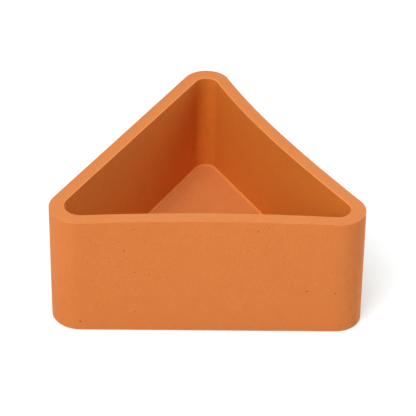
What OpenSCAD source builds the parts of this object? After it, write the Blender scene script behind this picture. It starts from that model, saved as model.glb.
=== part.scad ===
// Triangular planter: a one-piece cast vessel with an open top. It stands on three pads, and a
// soft stopper closes the drain hole in its floor.
// Millimetres, +Z up. The front wall faces -Y. The origin is at the middle of the rectangle that
// bounds the plan, on the surface that the pads stand on.

/* [Vessel] */
// Side of the triangular plan, between the points where its straight sides would meet
side = 160; // [130:1:220]
// Height of the rim above the surface that the planter stands on
height = 60; // [40:1:100]
// Height of the inner floor above that surface
floor_z = 9; // [8:0.1:14]
// Thickness of the walls
wall = 6.3; // [5:0.1:7.5]
// Outer radius of the front left corner
left_r = 13.5; // [10:0.5:18]
// Outer radius of the front right corner
right_r = 12; // [10:0.5:18]
// Outer radius of the rear corner
rear_r = 11.5; // [10:0.5:18]
// How much rounder the inner corners are than walls of even thickness would make them
inner_extra = 0.7; // [0:0.1:2]

/* [Bowed walls] */
// How far the middle of the front wall leans inwards at the rim
front_bow = 2.2; // [0:0.1:4]
// How far the middle of the right wall leans inwards at the rim
right_bow = 2.9; // [0:0.1:4]
// How much fuller the right wall's bow is towards the rear corner than towards the front one
right_skew = 0.3; // [-0.5:0.1:0.5]
// How late the lean starts on the way up: 1 is a straight lean, 2 a curved one
lean_power = 1.4; // [1:0.1:2]

/* [Edges] */
// Rounding of the edge between the base and the walls
base_round = 0.5; // [0.3:0.1:1.2]
// Rounding of the two edges of the rim
rim_round = 0.4; // [0.3:0.1:1.5]
// Radius of the cove between the walls and the floor
cove_r = 1; // [0.5:0.1:1.5]

/* [Drain hole and stopper] */
// Diameter of the drain hole
drain_d = 12; // [8:0.5:14]
// Chamfer round the lower end of the drain hole
drain_chamfer = 0.8; // [0.3:0.1:1.2]
// Width of the ledge that the stopper's flange rests on
ledge = 4.3; // [3:0.1:6]
// Thickness of the flange, which lies flush with the floor
flange_t = 2; // [1.2:0.1:3]
// Gap between the flange and the side of its seat
flange_gap = 0.3; // [0.2:0.1:0.6]
// Radial clearance between the stopper's sealing lips and the hole
lip_gap = 0.05; // [0.02:0.01:0.1]
// How far the stem is set back between its lips
lip_depth = 0.6; // [0.3:0.1:1]
// Height of the pull tab above the floor
tab_h = 8; // [6:0.5:12]
// Width of the pull tab
tab_w = 8; // [6:0.5:9]
// Thickness of the pull tab
tab_t = 2.4; // [1.6:0.2:3]
// Diameter of the eye in the pull tab
eye_d = 3.6; // [2:0.2:4]

/* [Pads] */
// Diameter of each pad
pad_d = 16; // [10:0.5:18]
// Thickness of each pad
pad_t = 1.8; // [1.2:0.1:2.5]
// How far the pads stand out below the base
pad_proud = 0.3; // [0.2:0.1:1]
// Gap between a pad and the side of its recess
pad_gap = 0.3; // [0.2:0.1:0.6]
// Distance from the middle of a pad to each of the two sides next to it
pad_edge = 15; // [15:0.5:25]

/* [Hidden] */
$fn = 96;
// Number of steps round each corner, along each side, round each small edge and up each wall
corner_steps = 12;
side_steps = 16;
edge_steps = 4;
wall_steps = 4;
// Length by which a cutter passes the face that it starts from
past = 1;

// The plan is worked out about its middle. Corners run counter-clockwise from the front left,
// and each side runs from its own corner to the next one.
corner_dir = [210, 330, 90];
corner_r = [left_r, right_r, rear_r];
side_dir = [270, 30, 150];
side_bow = [front_bow, right_bow, 0];
side_skew = [0, right_skew, 0];
// Distance from the middle of the plan to the points where the straight sides would meet
reach = side / sqrt(3);

function unit(a) = [cos(a), sin(a)];
// Radius and centre of one corner's arc in the outline that lies inset from the outer one
function arc_r(k, inset) = corner_r[k] - inset + inner_extra * inset / wall;
function arc_centre(k, inset) = (reach - 2 * (arc_r(k, inset) + inset)) * unit(corner_dir[k]);
function corner_point(k, inset, a) = arc_centre(k, inset) + arc_r(k, inset) * unit(a);

// Middle of the plan, measured from the origin
middle = -[arc_centre(0, 0).x - left_r + arc_centre(1, 0).x + right_r,
           arc_centre(2, 0).y + rear_r - reach / 2] / 2;

// One corner of the outline that lies inset from the outer one
function corner_points(k, inset) =
    [for (i = [0:corner_steps]) corner_point(k, inset, corner_dir[k] - 60 + 120 * i / corner_steps)];

// How far a side is bowed inwards at share s of its length, as a part of its bow at the middle
function bow(k, s) = 4 * s * (1 - s) * (1 + side_skew[k] * (2 * s - 1));

// The points along one side between its two corners, bowed inwards by its share of the full bow
function side_points(k, inset, share) =
    let (next = (k + 1) % 3,
         from = corner_point(k, inset, side_dir[k]),
         to = corner_point(next, inset, side_dir[k]))
    [for (i = [1:side_steps - 1])
        let (s = i / side_steps)
        from + s * (to - from) - side_bow[k] * share * bow(k, s) * unit(side_dir[k])];

// The walls stand straight up to the floor, and lean more and more from there to the rim
function lean(z) = pow(max(0, z - floor_z) / (height - floor_z), lean_power);

function ring(inset, z) =
    [for (k = [0:2]) for (p = concat(corner_points(k, inset), side_points(k, inset, lean(z))))
        [p.x + middle.x, p.y + middle.y, z]];

// Section of the vessel as [inset, height] pairs, from the base over the rim to the floor
foot_z = pad_proud + base_round;
brow_z = height - rim_round;
cove_z = floor_z + cove_r;
edge_angles = [for (i = [0:edge_steps]) 90 * i / edge_steps];
section = concat(
    [for (a = edge_angles) [base_round * (1 - sin(a)), foot_z - base_round * cos(a)]],
    [for (i = [1:wall_steps - 1]) [0, foot_z + (brow_z - foot_z) * i / wall_steps]],
    [for (a = edge_angles) [rim_round * (1 - cos(a)), brow_z + rim_round * sin(a)]],
    [for (a = edge_angles) [wall - rim_round * (1 - sin(a)), brow_z + rim_round * cos(a)]],
    [for (i = [1:wall_steps - 1]) [wall, brow_z + (cove_z - brow_z) * i / wall_steps]],
    [for (a = edge_angles) [wall + cove_r * (1 - cos(a)), cove_z - cove_r * sin(a)]]);

// The closed skin of the vessel: rings joined in order, with a fan across the base and the floor
module skin() {
    rings = len(section);
    count = 3 * (corner_steps + side_steps);
    base_hub = rings * count;
    floor_hub = base_hub + 1;
    points = concat(
        [for (s = section) each ring(s[0], s[1])],
        [[middle.x, middle.y, pad_proud], [middle.x, middle.y, floor_z]]);
    walls = [for (i = [0:rings - 2]) for (j = [0:count - 1])
        let (a = i * count + j, b = i * count + (j + 1) % count)
        each [[a, a + count, b + count], [a, b + count, b]]];
    base = [for (j = [0:count - 1]) [base_hub, j, (j + 1) % count]];
    last = (rings - 1) * count;
    floor = [for (j = [0:count - 1]) [floor_hub, last + (j + 1) % count, last + j]];
    polyhedron(points, concat(walls, base, floor));
}

// Stands its children at the middle of the plan
module at_middle() {
    translate([middle.x, middle.y, 0]) children();
}

// Stands its children where the pad of one corner goes
module at_pad(k) {
    at_middle() translate((reach - 2 * pad_edge) * unit(corner_dir[k])) children();
}

seat_z = floor_z - flange_t;
seat_d = drain_d + 2 * ledge;

module pot() {
    color("#d77c41")
    difference() {
        skin();
        at_middle() cylinder(d = drain_d, h = floor_z + past);
        at_middle() translate([0, 0, pad_proud - past])
            cylinder(d1 = drain_d + 2 * (drain_chamfer + past), d2 = drain_d, h = drain_chamfer + past);
        at_middle() translate([0, 0, seat_z]) cylinder(d = seat_d, h = flange_t + past);
        for (k = [0:2])
            at_pad(k) translate([0, 0, pad_proud - past])
                cylinder(d = pad_d + 2 * pad_gap, h = pad_t - pad_proud + past);
    }
}

// Half section of the stopper: a nose that starts just above the base, two sealing lips with the
// stem set back between them, and the flange
lip_r = drain_d / 2 - lip_gap;
stem_r = lip_r - lip_depth;
flange_r = seat_d / 2 - flange_gap;
flange_edge = 0.5;
nose_z = pad_proud + 0.7;
stem_l = seat_z - nose_z;
plug_section = [
    [0, nose_z], [stem_r - lip_depth, nose_z],
    [lip_r, nose_z + 0.3 * stem_l], [stem_r, nose_z + 0.35 * stem_l],
    [stem_r, nose_z + 0.5 * stem_l],
    [lip_r, nose_z + 0.7 * stem_l], [stem_r, nose_z + 0.75 * stem_l],
    [stem_r, seat_z], [flange_r, seat_z],
    [flange_r, floor_z - flange_edge], [flange_r - flange_edge, floor_z], [0, floor_z]];

module drain_plug() {
    color("#cfc9bd")
    at_middle() {
        rotate_extrude() polygon(plug_section);
        translate([0, tab_t / 2, floor_z - flange_edge]) rotate([90, 0, 0])
            linear_extrude(tab_t) difference() {
                union() {
                    translate([-tab_w / 2, 0]) square([tab_w, tab_h + flange_edge - tab_w / 2]);
                    translate([0, tab_h + flange_edge - tab_w / 2]) circle(d = tab_w);
                }
                translate([0, tab_h + flange_edge - tab_w / 2]) circle(d = eye_d);
            }
    }
}

// Half section of a pad, with its lower edge broken
pad_edge_cut = 0.3;
pad_section = [
    [0, 0], [pad_d / 2 - pad_edge_cut, 0], [pad_d / 2, pad_edge_cut],
    [pad_d / 2, pad_t], [0, pad_t]];

module foot_pad(k) {
    color("#3b3a3c")
    at_pad(k) rotate_extrude() polygon(pad_section);
}

module foot_pad_left() foot_pad(0);
module foot_pad_right() foot_pad(1);
module foot_pad_rear() foot_pad(2);

pot();
drain_plug();
foot_pad_left();
foot_pad_right();
foot_pad_rear();
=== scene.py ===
"""Looks of the triangular planter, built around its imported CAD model. Metres, in the CAD's frame.

The vessel is rebuilt as one dense mesh from the same driving dimensions as the CAD, with the air
holes of the casting cut into it as real geometry. The stopper and the pads are rebuilt with
rounded edges. All the relief that is too fine for a mesh is in the procedural materials.
"""

import math
import random

import bmesh
import bpy
import numpy as np
from mathutils import Euler, Matrix, Vector, noise


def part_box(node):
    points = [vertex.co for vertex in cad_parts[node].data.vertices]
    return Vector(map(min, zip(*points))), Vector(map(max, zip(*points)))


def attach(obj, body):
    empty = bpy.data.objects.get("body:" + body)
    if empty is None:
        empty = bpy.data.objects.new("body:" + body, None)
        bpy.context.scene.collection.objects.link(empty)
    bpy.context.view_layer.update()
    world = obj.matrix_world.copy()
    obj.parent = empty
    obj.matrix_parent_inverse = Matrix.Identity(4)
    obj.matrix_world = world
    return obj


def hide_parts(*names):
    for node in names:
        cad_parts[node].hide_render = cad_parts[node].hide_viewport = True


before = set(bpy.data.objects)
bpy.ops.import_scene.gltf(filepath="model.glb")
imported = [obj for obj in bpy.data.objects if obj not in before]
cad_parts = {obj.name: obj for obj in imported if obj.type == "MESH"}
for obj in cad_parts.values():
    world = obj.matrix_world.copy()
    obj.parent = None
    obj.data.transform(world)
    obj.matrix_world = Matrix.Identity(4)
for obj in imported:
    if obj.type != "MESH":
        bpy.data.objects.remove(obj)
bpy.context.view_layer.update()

MM = 0.001

# Driving dimensions of the vessel, as in the CAD
SIDE = 160 * MM
WALL = 6.3 * MM
CORNER_R = (13.5 * MM, 12 * MM, 11.5 * MM)
INNER_EXTRA = 0.7 * MM
SIDE_BOW = (2.2 * MM, 2.9 * MM, 0.0)
SIDE_SKEW = (0.0, 0.3, 0.0)
LEAN_POWER = 1.4
BASE_ROUND = 0.5 * MM
RIM_ROUND = 0.4 * MM
COVE_R = 1.0 * MM
DRAIN_R = 6.0 * MM
DRAIN_CHAMFER = 0.8 * MM
FLOOR_Z = 9 * MM
FLANGE_T = 2 * MM
FLANGE_GAP = 0.3 * MM
PAD_GAP = 0.3 * MM

# Corners run counter-clockwise from the front left, and each side starts at its own corner
CORNER_DIR = (210, 330, 90)
SIDE_DIR = (270, 30, 150)
REACH = SIDE / math.sqrt(3)

# Heights and places that the frame gives
pot_low, pot_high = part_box("pot")
plug_low, plug_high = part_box("drain_plug")
BASE_Z = pot_low.z
RIM_Z = pot_high.z
MIDDLE = Vector(((plug_low.x + plug_high.x) / 2, (plug_low.y + plug_high.y) / 2))
FLANGE_R = (plug_high.x - plug_low.x) / 2
SEAT_Z = FLOOR_Z - FLANGE_T


# ---------------------------------------------------------------- camera

VIEW_PITCH = 35.55
VIEW_YAW = -0.36
VIEW_ROLL = 0.67
VIEW_DISTANCE = 1.068
VIEW_LENS = 200.0
AIM_RIGHT = 1.0 * MM
AIM_UP = 5.8 * MM


def add_camera():
    """A long lens, looking down on the front wall."""
    data = bpy.data.cameras.new("camera")
    data.sensor_width = 36.0
    data.lens = VIEW_LENS
    data.clip_start = 0.01
    data.clip_end = 20.0
    camera = bpy.data.objects.new("camera", data)
    bpy.context.scene.collection.objects.link(camera)
    aim = Vector((MIDDLE.x + AIM_RIGHT, MIDDLE.y, RIM_Z / 2 + AIM_UP))
    turn = (
        Matrix.Rotation(math.radians(VIEW_YAW), 4, "Z")
        @ Matrix.Rotation(math.radians(90 - VIEW_PITCH), 4, "X")
        @ Matrix.Rotation(math.radians(VIEW_ROLL), 4, "Z")
    )
    camera.matrix_world = Matrix.Translation(aim) @ turn @ Matrix.Translation((0, 0, VIEW_DISTANCE))
    bpy.context.scene.camera = camera


add_camera()


# ---------------------------------------------------------------- mesh helpers


def new_object(name, points, faces):
    mesh = bpy.data.meshes.new(name)
    mesh.from_pydata([tuple(p) for p in points], [], faces)
    mesh.validate()
    obj = bpy.data.objects.new(name, mesh)
    bpy.context.scene.collection.objects.link(obj)
    return obj


def settle(obj):
    """Applies an object's modifiers to its mesh."""
    bpy.context.view_layer.update()
    graph = bpy.context.evaluated_depsgraph_get()
    mesh = bpy.data.meshes.new_from_object(obj.evaluated_get(graph))
    obj.modifiers.clear()
    obj.data = mesh


def combine(obj, other, operation):
    """Joins other to obj or cuts it from obj, and removes other."""
    modifier = obj.modifiers.new(operation, "BOOLEAN")
    modifier.operation = operation
    modifier.solver = "MANIFOLD"
    modifier.object = other
    settle(obj)
    bpy.data.objects.remove(other)


def smooth(obj, angle):
    """Smooth shading, with creases where faces meet at more than angle degrees."""
    obj.data.shade_smooth()
    obj.data.set_sharp_from_angle(angle=math.radians(angle))


def flatten(obj):
    """Lets the large faces set the shading, so that flat ones look flat beside roundings."""
    modifier = obj.modifiers.new("flatten", "WEIGHTED_NORMAL")
    modifier.keep_sharp = True
    modifier.weight = 90
    settle(obj)


def quarter(steps):
    """Angles of a quarter turn."""
    return [math.radians(90 * i / steps) for i in range(steps + 1)]


def rounded(profile, radii, steps=5):
    """An open profile of (radius, height) pairs with a rounding of its own radius at each point."""
    points = []
    for i, (point, radius) in enumerate(zip(profile, radii)):
        here = Vector(point)
        if radius == 0:
            points.append(here)
            continue
        back = (Vector(profile[i - 1]) - here).normalized()
        on = (Vector(profile[i + 1]) - here).normalized()
        half = back.angle(on) / 2
        reach = radius / math.tan(half)
        centre = here + (back + on).normalized() * radius / math.sin(half)
        start = here + back * reach - centre
        end = here + on * reach - centre
        sweep = start.angle_signed(end)
        for k in range(steps + 1):
            spoke = start.copy()
            spoke.rotate(Matrix.Rotation(-sweep * k / steps, 2))
            points.append(centre + spoke)
    return points


def turned(name, profile, centre, segments):
    """A solid of revolution from (radius, height) pairs that start and end on the axis."""
    points = [(centre.x, centre.y, profile[0][1])]
    faces = []
    for radius, z in profile[1:-1]:
        for j in range(segments):
            a = 2 * math.pi * j / segments
            points.append((centre.x + radius * math.cos(a), centre.y + radius * math.sin(a), z))
    points.append((centre.x, centre.y, profile[-1][1]))
    top = len(points) - 1
    rings = len(profile) - 2
    for j in range(segments):
        k = (j + 1) % segments
        faces.append((0, 1 + k, 1 + j))
        for i in range(rings - 1):
            low = 1 + i * segments
            high = low + segments
            faces.append((low + j, low + k, high + k, high + j))
        last = 1 + (rings - 1) * segments
        faces.append((last + j, last + k, top))
    return new_object(name, points, faces)


# ---------------------------------------------------------------- outline and section of the vessel

CORNER_STEPS = 30
SIDE_STEPS = 72
EDGE_STEPS = 7
WALL_STEPS = 26
TOP_STEPS = 5
DISC_STEPS = 16


def unit(angle):
    return np.array([math.cos(math.radians(angle)), math.sin(math.radians(angle))])


def corner_point(k, inset, angle):
    """A point on corner k's arc: the inner arcs are a little rounder than even walls make them."""
    radius = CORNER_R[k] - inset + INNER_EXTRA * inset / WALL
    centre = (REACH - 2 * (radius + inset)) * unit(CORNER_DIR[k])
    return centre + radius * unit(angle)


def lean(z):
    """Share of the full bow at height z."""
    return max(0.0, (z - FLOOR_Z) / (RIM_Z - FLOOR_Z)) ** LEAN_POWER


def side_point(k, inset, z, s):
    """A point at share s of side k, at height z."""
    start = corner_point(k, inset, SIDE_DIR[k])
    end = corner_point((k + 1) % 3, inset, SIDE_DIR[k])
    bow = SIDE_BOW[k] * lean(z) * 4 * s * (1 - s) * (1 + SIDE_SKEW[k] * (2 * s - 1))
    return start + s * (end - start) - bow * unit(SIDE_DIR[k])


def outline(inset, z):
    """The closed outline that lies inset from the outer one at height z, counter-clockwise."""
    points = []
    for k in range(3):
        for i in range(CORNER_STEPS + 1):
            points.append(corner_point(k, inset, CORNER_DIR[k] - 60 + 120 * i / CORNER_STEPS))
        for i in range(1, SIDE_STEPS):
            points.append(side_point(k, inset, z, i / SIDE_STEPS))
    return np.array(points) + np.array(MIDDLE)


def section():
    """The wall's section as (inset, height) pairs, from the base over the rim to the floor."""
    foot = BASE_Z + BASE_ROUND
    brow = RIM_Z - RIM_ROUND
    cove = FLOOR_Z + COVE_R
    climb = [i / WALL_STEPS for i in range(1, WALL_STEPS)]
    across = [i / TOP_STEPS for i in range(1, TOP_STEPS)]
    turn = quarter(EDGE_STEPS)
    pairs = [(BASE_ROUND * (1 - math.sin(a)), foot - BASE_ROUND * math.cos(a)) for a in turn]
    pairs += [(0, foot + (brow - foot) * t) for t in climb]
    pairs += [(RIM_ROUND * (1 - math.cos(a)), brow + RIM_ROUND * math.sin(a)) for a in turn]
    pairs += [(RIM_ROUND + (WALL - 2 * RIM_ROUND) * t, RIM_Z) for t in across]
    pairs += [(WALL - RIM_ROUND * (1 - math.sin(a)), brow + RIM_ROUND * math.cos(a)) for a in turn]
    pairs += [(WALL, brow + (cove - brow) * t) for t in climb]
    pairs += [(WALL + COVE_R * (1 - math.cos(a)), cove - COVE_R * math.sin(a)) for a in turn]
    return pairs


# ---------------------------------------------------------------- skin of the vessel

WAVE_SIZE = 22 * MM
WAVE_DEPTH = 0.03 * MM


def wave(point):
    """How far the cast face lies below the true one: the mould isn't perfectly even."""
    return WAVE_DEPTH * (0.5 + 0.5 * noise.noise(Vector(point) / WAVE_SIZE))


def disc_rings(edge, z):
    """Rings from an edge outline towards the middle, where a flat face ends in a hub."""
    hub = np.array(MIDDLE)
    shares = [1 - i / DISC_STEPS for i in range(1, DISC_STEPS)]
    return [np.column_stack([hub + (edge - hub) * t, np.full(len(edge), z)]) for t in shares]


def build_skin():
    """The closed skin of the casting: base, outer walls, rim, inner walls, cove and floor."""
    wall = [np.column_stack([outline(i, z), np.full(3 * (CORNER_STEPS + SIDE_STEPS), z)])
            for i, z in section()]
    base = disc_rings(wall[0][:, :2], BASE_Z)
    floor = disc_rings(wall[-1][:, :2], FLOOR_Z)
    rings = list(reversed(base)) + wall + floor
    count = len(rings[0])
    points = [(MIDDLE.x, MIDDLE.y, BASE_Z)] + [p for ring in rings for p in ring]
    points.append((MIDDLE.x, MIDDLE.y, FLOOR_Z))
    faces = []
    last = 1 + (len(rings) - 1) * count
    for j in range(count):
        k = (j + 1) % count
        faces.append((0, 1 + k, 1 + j))
        faces.append((last + j, last + k, len(points) - 1))
        for low in range(1, last, count):
            faces.append((low + j, low + k, low + count + k, low + count + j))
    skin = new_object("planter_vessel", points, faces)
    sink = [wave(v.co) * v.normal for v in skin.data.vertices]
    for vertex, shift in zip(skin.data.vertices, sink):
        vertex.co -= shift
    return skin


# ---------------------------------------------------------------- cutters

PAST = 2 * MM
SEAT_BREAK = 0.3 * MM
DRAIN_SEGMENTS = 128
PAD_SEGMENTS = 96
PAD_NODES = ("foot_pad_left", "foot_pad_right", "foot_pad_rear")
# Angles between faces, in degrees, from which an edge of the casting or of a soft piece is sharp
CAST_CREASE = 32
SOFT_CREASE = 40


def middle_of(node):
    low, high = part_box(node)
    return Vector(((low.x + high.x) / 2, (low.y + high.y) / 2))


def drain_cutter():
    """The drain hole with its chamfer, and the stopper's seat with a broken edge."""
    seat_r = FLANGE_R + FLANGE_GAP
    profile = [
        (0, BASE_Z - PAST),
        (DRAIN_R + DRAIN_CHAMFER + PAST, BASE_Z - PAST),
        (DRAIN_R, BASE_Z + DRAIN_CHAMFER),
        (DRAIN_R, SEAT_Z),
        (seat_r, SEAT_Z),
        (seat_r, FLOOR_Z - SEAT_BREAK),
        (seat_r + SEAT_BREAK + PAST, FLOOR_Z + PAST),
        (0, FLOOR_Z + PAST),
    ]
    return turned("drain_cutter", profile, MIDDLE, DRAIN_SEGMENTS)


def pad_cutter(node):
    low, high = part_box(node)
    radius = (high.x - low.x) / 2 + PAD_GAP
    profile = [(0, BASE_Z - PAST), (radius, BASE_Z - PAST), (radius, high.z), (0, high.z)]
    return turned(node + "_cutter", profile, middle_of(node), PAD_SEGMENTS)


# The plainest pit of the casting, low on the front wall by its left corner: x, height and width
PIT_X = -67 * MM
PIT_Z = 5 * MM
PIT_WIDTH = 0.85 * MM
# Number of air holes on each kind of face, their narrowest and widest widths, and the power
# that favours the narrow ones (1 is even)
HOLES = (
    ({"outer": 57, "inner": 6}, 0.38 * MM, 0.66 * MM, 1.2),
    ({"outer": 280, "inner": 94, "rim": 22, "floor": 36}, 0.18 * MM, 0.52 * MM, 2.2),
)
HOLE_SEED = 41
HOLE_SPACING = 1.3 * MM
# How far a hole's middle lies below the face, and how far the hole reaches past it, in radii
HOLE_SINK = 0.6
HOLE_REACH = 1.7
# Range of a hole's two half widths, and how far its skin is pushed in or out, in radii
HOLE_OVAL = (0.85, 1.2)
HOLE_LUMPS = 0.08
# Width from which a hole gets a finer mesh
HOLE_FINE_FROM = 0.4 * MM
# Share of the floor, round the stopper, that has no air holes
CLEAR_FLOOR = 0.45


def on_wall(inset, z, share, side):
    """A point at a share of the outline's length, and the normal that points away from the wall."""
    loop = outline(inset, z)
    ahead = np.roll(loop, -1, axis=0) - loop
    run = np.cumsum(np.linalg.norm(ahead, axis=1))
    i = int(np.searchsorted(run, share * run[-1]))
    along = ahead[i] / np.linalg.norm(ahead[i])
    point = loop[i] + ahead[i] * 0.5
    return Vector((point[0], point[1], z)), Vector((along[1], -along[0], 0)) * side


def on_front(x, z):
    """The point of the front face at x and height z, and the face's normal."""
    left = side_point(0, 0, z, 0)[0] + MIDDLE.x
    right = side_point(0, 0, z, 1)[0] + MIDDLE.x
    flat = side_point(0, 0, z, min(max((x - left) / (right - left), 0), 1)) + np.array(MIDDLE)
    return Vector((flat[0], flat[1], z)), Vector((*unit(SIDE_DIR[0]), 0))


def random_spot(kind, draw):
    """A random point on one kind of face, and the face's normal there."""
    share = draw.random()
    if kind == "outer":
        return on_wall(0, draw.uniform(BASE_Z + 2 * BASE_ROUND, RIM_Z - 1.5 * RIM_ROUND), share, 1)
    if kind == "inner":
        return on_wall(WALL, draw.uniform(FLOOR_Z + 2 * COVE_R, RIM_Z - 2 * RIM_ROUND), share, -1)
    if kind == "rim":
        point, _ = on_wall(draw.uniform(2 * RIM_ROUND, WALL - 2 * RIM_ROUND), RIM_Z, share, 1)
        return point, Vector((0, 0, 1))
    edge, _ = on_wall(WALL + 2 * COVE_R, FLOOR_Z, share, 1)
    centre = Vector((MIDDLE.x, MIDDLE.y, FLOOR_Z))
    return centre.lerp(edge, math.sqrt(draw.uniform(CLEAR_FLOOR, 1))), Vector((0, 0, 1))


def add_hole(bm, point, normal, width, draw):
    """A lumpy hollow just under the face, open to it."""
    detail = 2 if width > HOLE_FINE_FROM else 1
    radius = width / 2
    stretch = [radius * draw.uniform(*HOLE_OVAL) for _ in range(2)] + [radius * HOLE_REACH]
    turn = normal.to_track_quat("Z", "Y").to_matrix().to_4x4()
    spin = Matrix.Rotation(draw.uniform(0, math.tau), 4, "Z")
    centre = point - normal * (wave(point) + radius * HOLE_SINK)
    place = Matrix.Translation(centre) @ turn @ spin @ Matrix.Diagonal((*stretch, 1))
    made = bmesh.ops.create_icosphere(bm, subdivisions=detail, radius=1, matrix=place)
    for vertex in made["verts"]:
        vertex.co += (vertex.co - centre) * draw.uniform(-HOLE_LUMPS, HOLE_LUMPS)


# Name of the number that faces carry into the material: 1 inside air holes, 0 elsewhere
PIT_MARK = "pit"


def mark_faces(mesh, value):
    attribute = mesh.attributes.new(PIT_MARK, "FLOAT", "FACE")
    attribute.data.foreach_set("value", [value] * len(mesh.polygons))


def hole_cutter():
    """All the air holes in one mesh, far enough apart not to meet."""
    draw = random.Random(HOLE_SEED)
    bm = bmesh.new()
    pit, normal = on_front(PIT_X, PIT_Z)
    add_hole(bm, pit, normal, PIT_WIDTH, draw)
    taken = [pit]
    for counts, small, large, bias in HOLES:
        for kind, count in counts.items():
            left = count
            while left > 0:
                point, normal = random_spot(kind, draw)
                if min((point - other).length for other in taken) < HOLE_SPACING:
                    continue
                width = small + (large - small) * draw.random() ** bias
                add_hole(bm, point, normal, width, draw)
                taken.append(point)
                left -= 1
    mesh = bpy.data.meshes.new("air_holes")
    bm.to_mesh(mesh)
    bm.free()
    mark_faces(mesh, 1.0)
    cutter = bpy.data.objects.new("air_holes", mesh)
    bpy.context.scene.collection.objects.link(cutter)
    return cutter


def build_vessel():
    vessel = build_skin()
    mark_faces(vessel.data, 0.0)
    combine(vessel, drain_cutter(), "DIFFERENCE")
    for node in PAD_NODES:
        combine(vessel, pad_cutter(node), "DIFFERENCE")
    combine(vessel, hole_cutter(), "DIFFERENCE")
    smooth(vessel, CAST_CREASE)
    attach(vessel, "vessel")
    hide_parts("pot")
    return vessel


# ---------------------------------------------------------------- stopper and pads

STEM_SET_BACK = 0.6 * MM
LIP_GAP = 0.05 * MM
FLANGE_EDGE = 0.5 * MM
GROOVE_R = 8.2 * MM
GROOVE_HALF = 0.45 * MM
GROOVE_DEPTH = 0.3 * MM
TAB_W = 8 * MM
TAB_T = 2.4 * MM
TAB_TOP = plug_high.z
EYE_R = 1.8 * MM
TAB_FLARE = 1.0 * MM
TAB_EDGE = 0.45 * MM
TAB_SINK = 0.5 * MM
FLARE_STEPS = 6
ARCH_STEPS = 36
EYE_STEPS = 40


def stopper_body():
    """Nose, two sealing lips with the stem set back between them, and a flange with a ring."""
    lip_r = DRAIN_R - LIP_GAP
    stem_r = lip_r - STEM_SET_BACK
    nose = plug_low.z
    length = SEAT_Z - nose
    profile = [
        (0, nose),
        (stem_r - STEM_SET_BACK, nose),
        (lip_r, nose + 0.3 * length),
        (stem_r, nose + 0.35 * length),
        (stem_r, nose + 0.5 * length),
        (lip_r, nose + 0.7 * length),
        (stem_r, nose + 0.75 * length),
        (stem_r, SEAT_Z),
        (FLANGE_R, SEAT_Z),
        (FLANGE_R, FLOOR_Z),
        (GROOVE_R + GROOVE_HALF, FLOOR_Z),
        (GROOVE_R, FLOOR_Z - GROOVE_DEPTH),
        (GROOVE_R - GROOVE_HALF, FLOOR_Z),
        (0, FLOOR_Z),
    ]
    fine = 0.12 * MM
    radii = [0, 3 * fine, fine, fine, 2 * fine, fine, fine, 2 * fine, 2 * fine, FLANGE_EDGE,
             fine, fine, fine, 0]
    return turned("drain_stopper", rounded(profile, radii), MIDDLE, DRAIN_SEGMENTS)


def tab_outline():
    """Upright outline of the pull tab: a flared foot, straight sides and a round top."""
    radius = TAB_W / 2
    top = TAB_TOP - radius
    foot = FLOOR_Z
    right = [(radius + TAB_FLARE, foot - TAB_SINK), (radius + TAB_FLARE, foot)]
    right += [(radius + TAB_FLARE * (1 - math.sin(a)), foot + TAB_FLARE * (1 - math.cos(a)))
              for a in quarter(FLARE_STEPS)[1:]]
    arch = [(radius * math.cos(a), top + radius * math.sin(a))
            for a in [math.pi * i / ARCH_STEPS for i in range(1, ARCH_STEPS)]]
    left = [(-x, z) for x, z in reversed(right)]
    return right + [(radius, top)] + arch + [(-radius, top)] + left


def plate(side, reach):
    """Points and faces of an upright plate: its (x, z) outline, and its reach to front and rear."""
    count = len(side)
    points = [(x, MIDDLE.y + y, z) for y in (-reach, reach) for x, z in side]
    faces = [tuple(range(count)), tuple(reversed(range(count, 2 * count)))]
    faces += [(j, j + count, (j + 1) % count + count, (j + 1) % count) for j in range(count)]
    return points, faces


def stopper_tab():
    """The pull tab as a thick plate, with its edges rounded."""
    side = [(MIDDLE.x + x, z) for x, z in tab_outline()]
    tab = new_object("tab", *plate(side, TAB_T / 2))
    eye = new_object("eye", *eye_cutter())
    combine(tab, eye, "DIFFERENCE")
    bevel = tab.modifiers.new("edges", "BEVEL")
    bevel.width = TAB_EDGE
    bevel.segments = 4
    bevel.limit_method = "ANGLE"
    bevel.angle_limit = math.radians(50)
    settle(tab)
    return tab


def eye_cutter():
    """Points and faces of a pin through the tab."""
    centre_z = TAB_TOP - TAB_W / 2
    turn = [math.tau * i / EYE_STEPS for i in range(EYE_STEPS)]
    round_eye = [(MIDDLE.x + EYE_R * math.cos(a), centre_z + EYE_R * math.sin(a)) for a in turn]
    return plate(round_eye, TAB_T)


def build_stopper():
    stopper = stopper_body()
    combine(stopper, stopper_tab(), "UNION")
    smooth(stopper, SOFT_CREASE)
    flatten(stopper)
    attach(stopper, "stopper")
    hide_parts("drain_plug")
    return stopper


PAD_EDGE = 0.5 * MM
PAD_GROOVES = (3.0 * MM, 5.2 * MM)
PAD_GROOVE_HALF = 0.35 * MM
PAD_GROOVE_DEPTH = 0.3 * MM
PAD_GROOVE_ROUND = 0.08 * MM
PAD_TOP_ROUND = 0.15 * MM


def build_pad(node):
    """A round pad with a rounded lower edge and two grip rings in the face that it stands on."""
    low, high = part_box(node)
    radius = (high.x - low.x) / 2
    profile = [(0, low.z)]
    radii = [0]
    for ring in PAD_GROOVES:
        profile += [(ring - PAD_GROOVE_HALF, low.z), (ring, low.z + PAD_GROOVE_DEPTH),
                    (ring + PAD_GROOVE_HALF, low.z)]
        radii += [PAD_GROOVE_ROUND] * 3
    profile += [(radius, low.z), (radius, high.z), (0, high.z)]
    radii += [PAD_EDGE, PAD_TOP_ROUND, 0]
    pad = turned(node.replace("foot_pad", "rubber_pad"), rounded(profile, radii), middle_of(node),
                 PAD_SEGMENTS)
    smooth(pad, SOFT_CREASE)
    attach(pad, "vessel")
    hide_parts(node)
    return pad


# ---------------------------------------------------------------- materials

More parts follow.
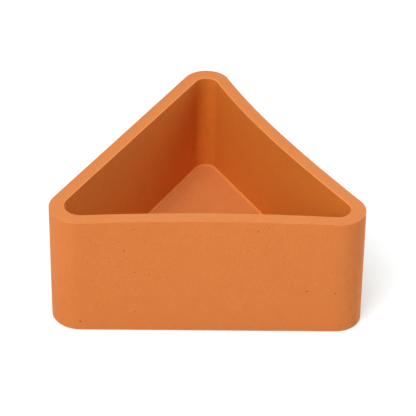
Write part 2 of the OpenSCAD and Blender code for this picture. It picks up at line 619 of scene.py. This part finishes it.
# Sockets of the Mix node when it mixes colours: its names are shared with its other types
MIX_FACTOR = 0
MIX_FROM = 6
MIX_TO = 7
MIX_RESULT = 2


class Nodes:
    """A short way to write a material's node tree."""

    def __init__(self, name):
        self.material = bpy.data.materials.new(name)
        self.material.use_nodes = True
        self.tree = self.material.node_tree
        self.tree.nodes.clear()
        coordinates = self.tree.nodes.new("ShaderNodeTexCoord")
        self.place = coordinates.outputs["Object"]
        self.normal = coordinates.outputs["Normal"]

    def link(self, source, target):
        self.tree.links.new(source, target)

    def put(self, node, values):
        """Sets sockets by name or number: an output is linked, anything else is the value."""
        for name, value in values.items():
            if isinstance(value, bpy.types.NodeSocket):
                self.link(value, node.inputs[name])
            else:
                node.inputs[name].default_value = value

    def noise(self, size, detail=2.0, roughness=0.5):
        """Noise whose features are about size metres across, with a mean of 0.5."""
        node = self.tree.nodes.new("ShaderNodeTexNoise")
        self.put(node, {"Vector": self.place, "Scale": 1 / size, "Detail": detail,
                        "Roughness": roughness})
        return node.outputs["Fac"]

    def cells(self, size, output):
        """Random cells about size metres across, by their distance or their random colour."""
        node = self.tree.nodes.new("ShaderNodeTexVoronoi")
        self.put(node, {"Vector": self.place, "Scale": 1 / size})
        return node.outputs[output]

    def math(self, operation, a, b):
        node = self.tree.nodes.new("ShaderNodeMath")
        node.operation = operation
        self.put(node, {0: a, 1: b})
        return node.outputs[0]

    def ramp(self, value, low, high, start=0.0, end=1.0):
        """Maps low..high to start..end, and clamps it."""
        node = self.tree.nodes.new("ShaderNodeMapRange")
        self.put(node, {"Value": value, "From Min": low, "From Max": high, "To Min": start,
                        "To Max": end})
        return node.outputs["Result"]

    def mix(self, factor, a, b):
        node = self.tree.nodes.new("ShaderNodeMix")
        node.data_type = "RGBA"
        self.put(node, {MIX_FACTOR: factor, MIX_FROM: a, MIX_TO: b})
        return node.outputs[MIX_RESULT]

    def upward(self, vector):
        """The upward part of a vector."""
        node = self.tree.nodes.new("ShaderNodeSeparateXYZ")
        self.link(vector, node.inputs[0])
        return node.outputs["Z"]

    def attribute(self, name):
        """A number that the mesh carries on its faces."""
        node = self.tree.nodes.new("ShaderNodeAttribute")
        node.attribute_name = name
        return node.outputs["Fac"]

    def height(self):
        """Height above the surface that the object stands on."""
        return self.upward(self.place)

    def facing_up(self):
        """1 on a face that looks straight up, 0 on an upright one."""
        return self.upward(self.normal)

    def facing_in(self):
        """1 on a face that looks towards the inside of the vessel, 0 on one that looks out."""
        level = self.vector_math("MULTIPLY", self.normal, (-1, -1, 0)).outputs["Vector"]
        inward = self.vector_math("DOT_PRODUCT", level, self.place).outputs["Value"]
        return self.ramp(inward, 0.0, 1 * MM)

    def vector_math(self, operation, a, b):
        node = self.tree.nodes.new("ShaderNodeVectorMath")
        node.operation = operation
        self.put(node, {0: a, 1: b})
        return node

    def bump(self, value, distance, under=None):
        """A normal that follows value as relief of distance metres, on top of the one under it."""
        node = self.tree.nodes.new("ShaderNodeBump")
        self.put(node, {"Height": value, "Distance": distance, "Strength": 1.0})
        if under is not None:
            self.link(under, node.inputs["Normal"])
        return node.outputs["Normal"]

    def finish(self, **values):
        """Ends the material with its shader, whose sockets are named with _ for a space."""
        shader = self.tree.nodes.new("ShaderNodeBsdfPrincipled")
        self.put(shader, {name.replace("_", " "): value for name, value in values.items()})
        output = self.tree.nodes.new("ShaderNodeOutputMaterial")
        self.link(shader.outputs["BSDF"], output.inputs["Surface"])
        return self.material


# Tones of the clay: as cast, and where it is paler; inside, as painted shade and orange bounce
# light; on faces that look up, as a painted sheen; blotched, sandy, specked; on the edges, partly
# worn and partly a painted highlight; and in the air holes, as painted shade
CLAY = (0.652, 0.180, 0.029, 1)
CLAY_PALE = (0.682, 0.204, 0.036, 1)
CLAY_INSIDE_SHADE = (0.710, 0.212, 0.004, 1)
CLAY_TOP_SHEEN = (0.600, 0.230, 0.068, 1)
CLAY_DEEP = (0.590, 0.146, 0.021, 1)
CLAY_GRAIN = (0.470, 0.098, 0.006, 1)
CLAY_SPECK = (0.330, 0.060, 0.006, 1)
CLAY_WORN_AND_HIGHLIT = (0.800, 0.340, 0.125, 1)
CLAY_PIT_SHADE = (0.330, 0.072, 0.009, 1)
SPECK_CELL = 0.7 * MM

SILICONE = (0.66, 0.61, 0.52, 1)
SILICONE_PALE = (0.74, 0.70, 0.62, 1)
SILICONE_WORN = (0.52, 0.47, 0.39, 1)
SILICONE_SPECK = (0.45, 0.38, 0.30, 1)

RUBBER = (0.030, 0.029, 0.031, 1)
RUBBER_PALE = (0.052, 0.050, 0.050, 1)
RUBBER_SCUFFED = (0.13, 0.125, 0.12, 1)


def clouded_clay(n):
    """The clay's tone: broad clouds, painted shade inside, painted sheen on faces that look up,
    blotches.
    """
    cloud = n.ramp(n.noise(30 * MM, 3), 0.35, 0.65)
    colour = n.mix(n.math("MULTIPLY", cloud, 0.30), CLAY, CLAY_PALE)
    # Painted shade: inner faces get a deeper, more saturated tone for the shaded, orange bounce-lit
    # inside
    colour = n.mix(n.math("MULTIPLY", n.facing_in(), 0.7), colour, CLAY_INSIDE_SHADE)
    # Painted sheen: faces that look up are paler and less saturated, as the light from above makes
    # them
    top_sheen = n.ramp(n.facing_up(), 0.5, 1.0, 0, 0.7)
    top_sheen = n.math("MULTIPLY", top_sheen, n.ramp(n.noise(9 * MM, 4, 0.6), 0.3, 0.7, 0.75, 1.0))
    colour = n.mix(top_sheen, colour, CLAY_TOP_SHEEN)
    blotch = n.ramp(n.noise(7 * MM, 4, 0.6), 0.45, 0.75)
    return n.mix(n.math("MULTIPLY", blotch, 0.28), colour, CLAY_DEEP)


def specks(n):
    """A factor of up to 0.5 in the middle of a few of the fine random cells, and 0 elsewhere."""
    dots = n.ramp(n.cells(SPECK_CELL, "Distance"), 0.34, 0.24)
    return n.math("MULTIPLY", dots, n.ramp(n.cells(SPECK_CELL, "Color"), 0.80, 0.92, 0, 0.5))


def rubbed_and_highlit(n):
    """How pale the rim's roundings, mostly the inner one, and the cove are: partly wear and partly
    a painted highlight on the rim, and a painted highlight line on the cove.
    """
    rim = n.ramp(n.height(), RIM_Z - 0.5 * MM, RIM_Z - 0.3 * MM)
    rim = n.math("MULTIPLY", rim, n.ramp(n.facing_up(), 0.98, 0.9))
    rim = n.math("MULTIPLY", rim, n.ramp(n.facing_in(), 0, 1, 0.1, 1))
    cove = n.ramp(n.height(), FLOOR_Z + 0.8 * MM, FLOOR_Z + 0.5 * MM, 0, 0.45)
    cove = n.math("MULTIPLY", cove, n.ramp(n.facing_up(), 0.3, 0.5))
    cove = n.math("MULTIPLY", cove, n.ramp(n.facing_up(), 0.97, 0.88))
    edges = n.math("MAXIMUM", rim, n.math("MULTIPLY", cove, n.facing_in()))
    return n.math("MULTIPLY", edges, n.ramp(n.noise(4 * MM, 4, 0.7), 0.3, 0.7, 0.55, 0.9))


def cast_mineral():
    """Matt cast mineral, coloured through: cloudy, sandy, a little paler on the edges, partly from
    wear and partly as a painted highlight, and with painted shade in the air holes.
    """
    n = Nodes("cast_mineral")
    grain = n.ramp(n.noise(0.5 * MM, 3, 0.6), 0.3, 0.7, 0, 0.45)
    colour = n.mix(grain, clouded_clay(n), CLAY_GRAIN)
    speck = specks(n)
    colour = n.mix(speck, colour, CLAY_SPECK)
    # Paler rim roundings and cove: partly wear, and a painted highlight along them
    colour = n.mix(rubbed_and_highlit(n), colour, CLAY_WORN_AND_HIGHLIT)
    # Painted shade: the air holes are painted darker, as their hollows are in shade
    colour = n.mix(n.attribute(PIT_MARK), colour, CLAY_PIT_SHADE)
    roughness = n.ramp(n.noise(2.5 * MM, 3), 0.3, 0.7, 0.74, 0.88)
    normal = n.bump(n.noise(0.45 * MM, 3, 0.65), 0.035 * MM)
    normal = n.bump(n.noise(3 * MM, 3), 0.06 * MM, under=normal)
    normal = n.bump(n.math("MULTIPLY", speck, -1.0), 0.03 * MM, under=normal)
    return n.finish(Base_Color=colour, Roughness=roughness, Normal=normal, Specular_IOR_Level=0.5)


def silicone():
    """Soft off-white silicone, faintly cloudy and slightly marked where fingers pull it."""
    n = Nodes("stopper_silicone")
    cloud = n.ramp(n.noise(5 * MM, 3), 0.3, 0.7)
    colour = n.mix(cloud, SILICONE, SILICONE_PALE)
    grip = n.ramp(n.height(), FLOOR_Z + 2 * MM, FLOOR_Z + 7 * MM)
    worn = n.math("MULTIPLY", grip, n.ramp(n.noise(1.5 * MM, 4, 0.7), 0.45, 0.75, 0, 0.35))
    colour = n.mix(worn, colour, SILICONE_WORN)
    speck = n.ramp(n.cells(0.35 * MM, "Color"), 0.93, 0.98, 0, 0.25)
    colour = n.mix(speck, colour, SILICONE_SPECK)
    roughness = n.ramp(n.noise(1.2 * MM, 4), 0.3, 0.7, 0.42, 0.62)
    normal = n.bump(n.noise(0.3 * MM, 3), 0.012 * MM)
    return n.finish(Base_Color=colour, Roughness=roughness, Normal=normal,
                    Subsurface_Weight=0.15, Subsurface_Scale=1.5 * MM)


def rubber():
    """Dark rubber with a fine texture, greyer on the edge that it stands on."""
    n = Nodes("pad_rubber")
    cloud = n.ramp(n.noise(3 * MM, 4, 0.6), 0.3, 0.7)
    colour = n.mix(cloud, RUBBER, RUBBER_PALE)
    low = n.ramp(n.height(), 0.5 * MM, 0.0, 0, 0.5)
    scuffed = n.math("MULTIPLY", low, n.ramp(n.noise(0.8 * MM, 4, 0.7), 0.4, 0.7))
    colour = n.mix(scuffed, colour, RUBBER_SCUFFED)
    roughness = n.ramp(n.noise(0.9 * MM, 3), 0.3, 0.7, 0.62, 0.85)
    normal = n.bump(n.noise(0.25 * MM, 3), 0.02 * MM)
    return n.finish(Base_Color=colour, Roughness=roughness, Normal=normal)


def paint(obj, material):
    obj.data.materials.clear()
    obj.data.materials.append(material)


# ---------------------------------------------------------------- pieces

paint(build_vessel(), cast_mineral())
paint(build_stopper(), silicone())
pad_material = rubber()
for pad_node in PAD_NODES:
    paint(build_pad(pad_node), pad_material)


# ---------------------------------------------------------------- stage and light

STAGE_SIZE = 6.0
STAGE_WHITE = (0.70, 0.70, 0.70, 1)
# Painted light: the floor's glow near the object, cool there to lift its shadow against the orange
# bounce, and far from it, and the distances between which the one turns into the other
GLOW_NEAR = (0.226, 0.301, 0.310, 1)
GLOW_FAR = (0.70, 0.70, 0.70, 1)
GLOW_RANGE = (0.25, 1.2)
LIGHT_AIM = Vector((0, 0, 0.03))
LIGHT_DISTANCE = 1.5
# Name, direction that it stands in (0 is the camera's side, 90 the right), height angle, size
# in metres and power in watts
LIGHTS = (
    ("key", -40, 45, 2.0, 14.0),
    ("front", -25, 40, 0.9, 4.8),
    ("upper_left", -25, 65, 0.9, 9.5),
    ("top", 0, 89, 0.9, 4.0),
    ("right", 90, 40, 0.9, 5.4),
    ("rear_left", -120, 15, 0.9, 5.2),
    ("rear_right", 135, 15, 0.9, 14.0),
)


def add_floor():
    """A white studio floor that glows a little, as painted light that lifts the object's shadow on
    it.
    """
    half = STAGE_SIZE / 2
    corners = [(-half, -half, 0), (half, -half, 0), (half, half, 0), (-half, half, 0)]
    floor = new_object("studio_floor", corners, [(0, 1, 2, 3)])
    n = Nodes("studio_white")
    distance = n.vector_math("LENGTH", n.place, (0, 0, 0)).outputs["Value"]
    glow = n.mix(n.ramp(distance, *GLOW_RANGE), GLOW_NEAR, GLOW_FAR)
    paint(floor, n.finish(Base_Color=STAGE_WHITE, Roughness=0.9, Specular_IOR_Level=0.2,
                          Emission_Color=glow, Emission_Strength=1.0))


def add_light(name, azimuth, elevation, size, power):
    data = bpy.data.lights.new(name, "AREA")
    data.shape = "DISK"
    data.size = size
    data.energy = power
    light = bpy.data.objects.new(name, data)
    bpy.context.scene.collection.objects.link(light)
    turn = Euler((math.radians(90 - elevation), 0, math.radians(azimuth)), "XYZ").to_matrix()
    out = Matrix.Translation((0, 0, LIGHT_DISTANCE))
    light.matrix_world = Matrix.Translation(LIGHT_AIM) @ turn.to_4x4() @ out


def add_sky():
    """A white surround that is seen past the floor, and gives no light of its own."""
    world = bpy.data.worlds.new("surround")
    bpy.context.scene.world = world
    world.use_nodes = True
    tree = world.node_tree
    tree.nodes.clear()
    rays = tree.nodes.new("ShaderNodeLightPath")
    sky = tree.nodes.new("ShaderNodeBackground")
    sky.inputs["Color"].default_value = (1, 1, 1, 1)
    output = tree.nodes.new("ShaderNodeOutputWorld")
    tree.links.new(rays.outputs["Is Camera Ray"], sky.inputs["Strength"])
    tree.links.new(sky.outputs["Background"], output.inputs["Surface"])


add_floor()
add_sky()
for light_row in LIGHTS:
    add_light(*light_row)
view = bpy.context.scene.view_settings
view.view_transform = "Standard"
view.look = "None"
